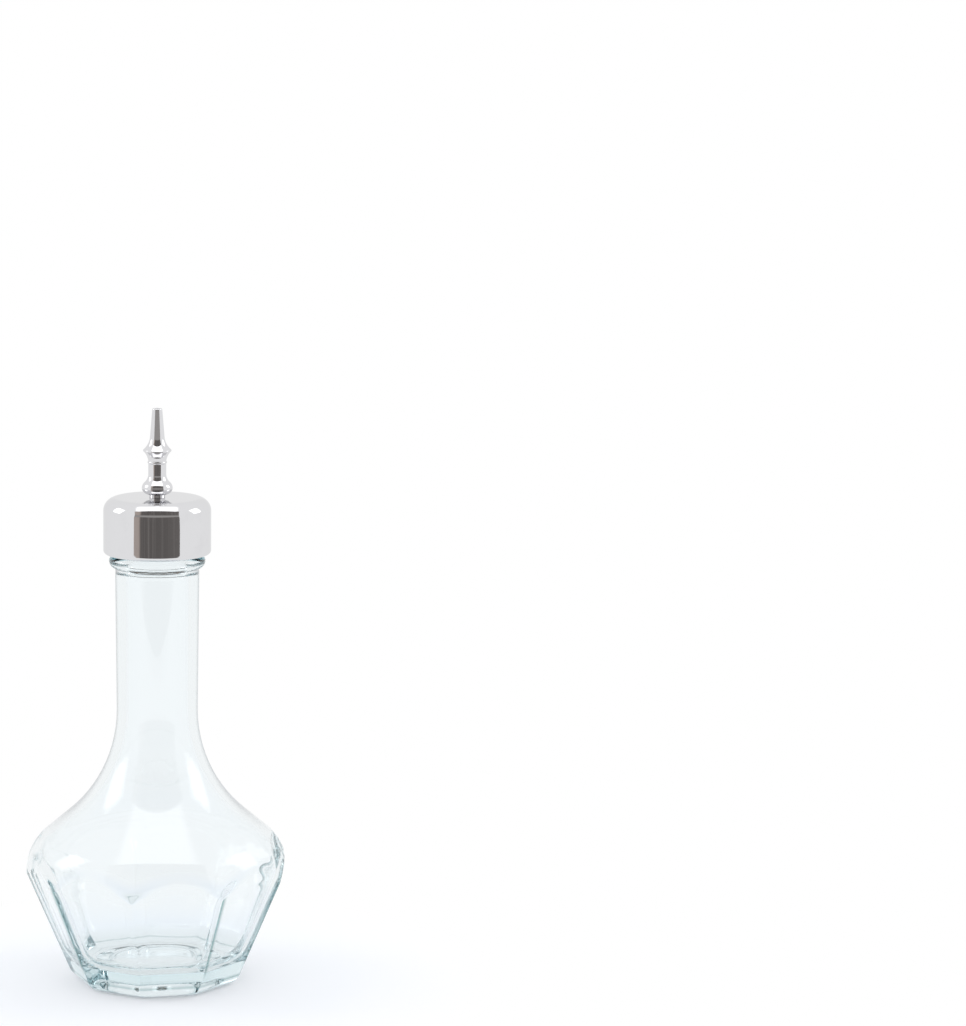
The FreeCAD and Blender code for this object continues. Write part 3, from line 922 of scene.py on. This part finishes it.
class DASHER_OT_cork(bpy.types.Operator):
    """Cut the bored cork that grips the neck"""

    bl_idname = "dasher.cork"
    bl_label = "Bored Cork"

    def execute(self, context):
        top = context.scene.dasher_top
        foot = CROWN_UNDER - top.cork_length
        points = closed_outline([
            (top.stem_hole, foot),
            (top.cork_radius - top.cork_edge, foot),
            (top.cork_radius, foot + top.cork_edge),
            (top.cork_radius, CROWN_UNDER),
            (top.stem_hole, CROWN_UNDER),
        ], 2 * top.edge_softness, 0.8 * MM)
        piece = lathe_piece("bored_cork", points, 144, natural_cork(context.scene.dasher_finishes))
        hand_over(piece, "stopper_cork", "dasher_top")
        return {"FINISHED"}


class DASHER_OT_hardware(bpy.types.Operator):
    """Make the threaded stem, its washer and its hexagon nut"""

    bl_idname = "dasher.hardware"
    bl_label = "Stem, Washer and Nut"

    def execute(self, context):
        top = context.scene.dasher_top
        steel = stem_steel(context.scene.dasher_finishes)
        self.stem(top, steel)
        self.washer(top, steel)
        self.nut(top, steel)
        return {"FINISHED"}

    def stem(self, top, steel):
        low, high = (corner.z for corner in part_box("stem_tube"))
        thread_top = low + top.thread_length
        points = closed_outline([
            (top.stem_bore, low),
            (top.stem_radius, low),
            (top.stem_radius, thread_top),
            (top.stem_radius, high),
            (top.stem_bore, high),
        ], top.edge_softness, top.thread_pitch / 9)
        shares = []
        for point in points:
            on_outside = point.x > top.stem_radius - 0.01 * MM
            shares.append(clamped((thread_top - point.y) / top.thread_pitch) if on_outside else 0.0)
        piece = turned("threaded_stem", points, even_columns(64), shares={"thread_share": shares})
        apply_rule(piece, thread_rule(), {
            "Pitch": top.thread_pitch, "Depth": top.thread_depth, "Material": steel})
        hand_over(piece, "stem_tube", "dasher_top")

    def washer(self, top, steel):
        low, high = (corner.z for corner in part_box("clamp_washer"))
        points = box_outline(top.stem_hole, top.washer_radius, low, high, 1.5 * top.edge_softness)
        piece = lathe_piece("thin_washer", points, 120, steel)
        hand_over(piece, "clamp_washer", "dasher_top")

    def nut(self, top, steel):
        """A hexagon whose bevel cuts its corners at both ends."""
        low, high = (corner.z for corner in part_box("stem_nut"))
        reach = top.nut_flats / 2
        bevel = (top.nut_flats / sqrt(3) - reach) * tan(top.nut_bevel)
        bevel_steps, side_steps = 6, 8
        steps = [bevel * number / bevel_steps for number in range(bevel_steps + 2)]
        heights = [low + step for step in steps]
        heights += [low + (high - low) * number / side_steps for number in range(2, side_steps - 1)]
        heights += [high - step for step in reversed(steps)]
        rings = [(Vector((top.stem_hole, low)), {})]
        for height in heights:
            depth = min(height - low, high - height)
            blank = Vector((reach + depth / tan(top.nut_bevel), height))
            rings.append(flat_ring(blank, reach, top.edge_softness))
        rings.append((Vector((top.stem_hole, high)), {}))
        piece = cut_flats("hex_nut", rings, flats=6, steps=10, closed=True, values={
            "Rim softness": 0.4 * top.edge_softness, "Waviness": 0.0, "Material": steel})
        hand_over(piece, "stem_nut", "dasher_top")


def floor_material(stage):
    """A pale floor that keeps the bottle's shadow near it and fades to plain white far off; as the glass
    shows it, the floor near the bottle takes a painted shade.
    """
    material, where = new_material("pale_floor")
    floor, under = opaque(stage.floor_colour), opaque(stage.under_shade_colour)
    grain_colour = (0.95, 0.96, 0.99, 1.0)
    away = where.add("ShaderNodeVectorMath", {0: where}, "Value", operation="LENGTH")
    path = light_path(where)
    seen = path.math("MAXIMUM", path.also("Is Glossy Ray")).math("MAXIMUM", path.also("Is Transmission Ray"))
    through = path.also("Transmission Depth").math("GREATER_THAN", 0.5)
    lost = stage.inner_loss * thrown_back(path)
    open_glow = stage.floor_glow * between(away, 12 * MM, 32 * MM)
    glow = open_glow + (stage.under_glass - open_glow) * through
    # painted shade near the bottle, for the floor as the glass shows it
    shade_near_bottle = 1 - between(away, 20 * MM, 50 * MM)
    far = between(away, 45 * MM, 90 * MM)
    matt = where.add("ShaderNodeBsdfDiffuse", {
        "Color": mixed(noise(where, 900.0, 2.0, 0.5) * 0.3, floor, grain_colour)})
    even = emission(where, mixed(lost, mixed(through * shade_near_bottle, floor, under), BLACK))
    white = emission(where, mixed(lost, WHITE, BLACK))
    lit = blended(far * seen, blended(glow * seen, matt, even), white)
    below = where.add("ShaderNodeNewGeometry", None, "Backfacing")
    close_material(blended(below, lit, where.add("ShaderNodeBsdfTransparent")))
    return material


def gap_material():
    """The dim room before the bottle in reflections, with a painted soft-box glow above it, and plain white
    for light that comes straight.
    """
    material, where = new_material("front_gap")
    room, strip, right_side = (0.125, 0.115, 0.11, 1.0), (0.48, 0.41, 0.37, 1.0), (0.18, 0.166, 0.16, 1.0)
    streaked, clouded, paler = (0.42, 0.39, 0.37, 1.0), (0.16, 0.148, 0.142, 1.0), (0.36, 0.345, 0.333, 1.0)
    # a painted soft-box reflection: the shell glows here, seen only in reflections, and lights nothing
    reflection_glow = (2.1, 2.1, 2.1, 1.0)
    across, rise, height = attribute(where, "across"), attribute(where, "rise"), axis(where, "Z")
    fibres = across.add("ShaderNodeCombineXYZ", {0: across * 9.0, 1: height * 2.0})
    streaks = between(noise(fibres, 1.0, 3.0, 0.6), 0.45, 0.8)
    clouds = between(noise(where, 4.0, 2.0, 0.5), 0.3, 0.8)
    tone = mixed(1 - between(across, -0.7, -0.56), room, strip)
    tone = mixed(between(across, 0.3, 0.7) * 0.5, tone, right_side)
    tone = mixed(streaks * 0.35, tone, streaked)
    tone = mixed(clouds * 0.4, tone, clouded)
    beside_spout = between(height, 125 * MM, 155 * MM) * (1 - between(height, 200 * MM, 250 * MM))
    tone = mixed(beside_spout, tone, paler)
    in_reflection_glow = (1 - between(across.math("ABSOLUTE"), 0.7, 1.0)) * (1 - between(rise, 90.0, 112.0))
    tone = mixed(between(rise, 58.0, 61.0), tone, mixed(in_reflection_glow, WHITE, reflection_glow))
    path = light_path(where)
    mirrored = path.also("Glossy Depth").math("GREATER_THAN", 0.5) * (1 - 0.7 * thrown_back(path))
    close_material(blended(mirrored, emission(where, WHITE), emission(where, tone)))
    return material


def cloth_material(width, height, level):
    """The cloth of a lamp as it is mirrored: bright in the middle and plain white at its edge."""
    material, where = new_material("lamp_cloth")
    x = axis(where, "X")
    middle = ((1 - between(x.math("ABSOLUTE"), 0.22 * width, 0.5 * width))
              * (1 - between(x.also("Y").math("ABSOLUTE"), 0.22 * height, 0.5 * height)))
    close_material(emission(where, mixed(middle, WHITE, (level, level, level, 1.0))))
    return material


def only_mirrored(thing):
    """Hide an object of the stage from all but reflections and what glass shows."""
    thing.visible_camera = thing.visible_diffuse = False
    thing.visible_shadow = thing.visible_volume_scatter = False


class DASHER_OT_stage(bpy.types.Operator):
    """Set the pale floor, the soft light and the camera"""

    bl_idname = "dasher.stage"
    bl_label = "Stage"

    def execute(self, context):
        scene, stage = context.scene, context.scene.dasher_stage
        self.floor(stage)
        self.front_gap()
        self.sky(scene, stage)
        for side in (-1, 1):
            self.lamp(side, stage)
        self.camera(scene, stage)
        scene.view_settings.view_transform = "Standard"
        scene.cycles.max_bounces = 64
        scene.cycles.transmission_bounces = 64
        scene.cycles.glossy_bounces = 32
        scene.cycles.use_denoising = True
        return {"FINISHED"}

    def sheet(self, name, places, faces, material):
        """A bare sheet of the stage with its material."""
        mesh = bpy.data.meshes.new(name)
        mesh.from_pydata(places, [], faces)
        mesh.materials.append(material)
        return linked(name, mesh)

    def floor(self, stage, reach=14.0):
        rim = [(reach * cos(turn), reach * sin(turn), 0.0) for turn in even_columns(96)]
        floor = self.sheet("floor", rim, [list(range(len(rim)))], floor_material(stage))

    def front_gap(self, reach=0.3, middle=0.12, lowest=-17.7, highest=112.0, columns=24, rows=40):
        """A dim shell that arches over the camera's side, wider below than above, with a painted soft-box
        reflection on top: a glow seen only in reflections that lights nothing.
        """
        wide_until, narrowed_at, narrowing_curve = -8.5, 86.0, 1.6
        widest, narrowing = 1.13 * reach, 0.49
        places, shares, rises, faces = [], [], [], []
        for row in range(rows + 1):
            rise = lowest + (highest - lowest) * row / rows
            along = max(0.0, rise - wide_until) / (narrowed_at - wide_until)
            half_width = widest * (1 - narrowing * along ** narrowing_curve)
            arch = (-reach * cos(radians(rise)), middle + reach * sin(radians(rise)))
            for column in range(columns + 1):
                across = 2 * column / columns - 1
                places.append((half_width * across, *arch))
                shares.append(across)
                rises.append(rise)
        for row in range(rows):
            for column in range(columns):
                corner = row * (columns + 1) + column
                faces.append((corner, corner + 1, corner + columns + 2, corner + columns + 1))
        gap = self.sheet("front_gap", places, faces, gap_material())
        for name, values in (("across", shares), ("rise", rises)):
            gap.data.attributes.new(name, "FLOAT", "POINT").data.foreach_set("value", values)
        only_mirrored(gap)

    def sky(self, scene, stage):
        """Plain white, and a little less where the glass throws it back."""
        world = bpy.data.worlds.new("white_surroundings")
        scene.world = world
        world.use_nodes = True
        world.node_tree.nodes.clear()
        path = light_path(Wire(world.node_tree))
        light = path.add("ShaderNodeBackground", {
            "Color": mixed(stage.inner_loss * thrown_back(path), WHITE, BLACK), "Strength": stage.sky_level})
        path.add("ShaderNodeOutputWorld", {"Surface": light})

    def lamp(self, side, stage, reach=0.7, aim=0.07, rise=radians(27.0), turn=radians(97.0)):
        """A side lamp, and the cloth in its place that reflections show."""
        light = bpy.data.lights.new("side_lamp", "AREA")
        light.shape = "RECTANGLE"
        light.size, light.size_y = 0.34, 0.4
        light.energy = stage.lamp_power
        lamp = linked("side_lamp", light)
        level = Vector((side * sin(turn), -cos(turn), 0.0))
        towards = level * cos(rise) + Vector((0.0, 0.0, sin(rise)))
        lamp.location = towards * reach + Vector((0.0, 0.0, aim))
        lamp.rotation_euler = towards.to_track_quat("Z", "Y").to_euler()
        lamp.visible_camera = lamp.visible_glossy = False
        wide, high = light.size / 2, light.size_y / 2
        corners = [(-wide, -high, 0.0), (wide, -high, 0.0), (wide, high, 0.0), (-wide, high, 0.0)]
        material = cloth_material(light.size, light.size_y, stage.cloth_level)
        cloth = self.sheet("lamp_cloth", corners, [(0, 1, 2, 3)], material)
        cloth.matrix_world = Matrix.LocRotScale(lamp.location, lamp.rotation_euler, None)
        only_mirrored(cloth)

    def camera(self, scene, stage):
        data = bpy.data.cameras.new("camera")
        data.lens = stage.lens
        data.sensor_width = 36.0
        data.clip_start, data.clip_end = 0.05, 60.0
        camera = linked("camera", data)
        scene.camera = camera
        turn, pitch = stage.camera_turn, stage.camera_pitch
        ahead = Vector((sin(turn) * cos(pitch), cos(turn) * cos(pitch), -sin(pitch)))
        right = Vector((cos(turn), -sin(turn), 0.0))
        axes = Matrix((right, right.cross(ahead), -ahead)).transposed()
        roll = Matrix.Rotation(stage.camera_roll, 3, "Z")
        place = Matrix.Translation((0.0, -stage.camera_distance, stage.camera_height))
        round_bottle = Matrix.Rotation(stage.camera_azimuth, 4, "Z")
        camera.matrix_world = round_bottle @ place @ (axes @ roll).to_4x4()


OPERATORS = (DASHER_OT_glass, DASHER_OT_cap, DASHER_OT_spout, DASHER_OT_gasket, DASHER_OT_cork,
             DASHER_OT_hardware, DASHER_OT_stage)
SETTINGS = (("dasher_glass", GlassSizes), ("dasher_top", TopSizes), ("dasher_spout", SpoutSizes),
            ("dasher_finishes", Finishes), ("dasher_stage", StageSettings))


class DASHER_PT_panel(bpy.types.Panel):
    """Sizes, finishes and makers of the dasher bottle"""

    bl_label = "Dasher Bottle"
    bl_idname = "DASHER_PT_panel"
    bl_space_type = "VIEW_3D"
    bl_region_type = "UI"
    bl_category = "Dasher Bottle"

    def draw(self, context):
        for operator in OPERATORS:
            self.layout.operator(operator.bl_idname)
        for name, kind in SETTINGS:
            box = self.layout.box()
            for entry in kind.__annotations__:
                box.prop(getattr(context.scene, name), entry)


def register():
    for name, kind in SETTINGS:
        bpy.utils.register_class(kind)
        setattr(bpy.types.Scene, name, PointerProperty(type=kind))
    for kind in (*OPERATORS, DASHER_PT_panel):
        bpy.utils.register_class(kind)


def unregister():
    for kind in reversed((*OPERATORS, DASHER_PT_panel)):
        bpy.utils.unregister_class(kind)
    for name, kind in reversed(SETTINGS):
        delattr(bpy.types.Scene, name)
        bpy.utils.unregister_class(kind)


def main():
    register()
    bpy.ops.dasher.glass()
    bpy.ops.dasher.cap()
    bpy.ops.dasher.spout()
    bpy.ops.dasher.gasket()
    bpy.ops.dasher.cork()
    bpy.ops.dasher.hardware()
    bpy.ops.dasher.stage()


if __name__ == "__main__":
    main()
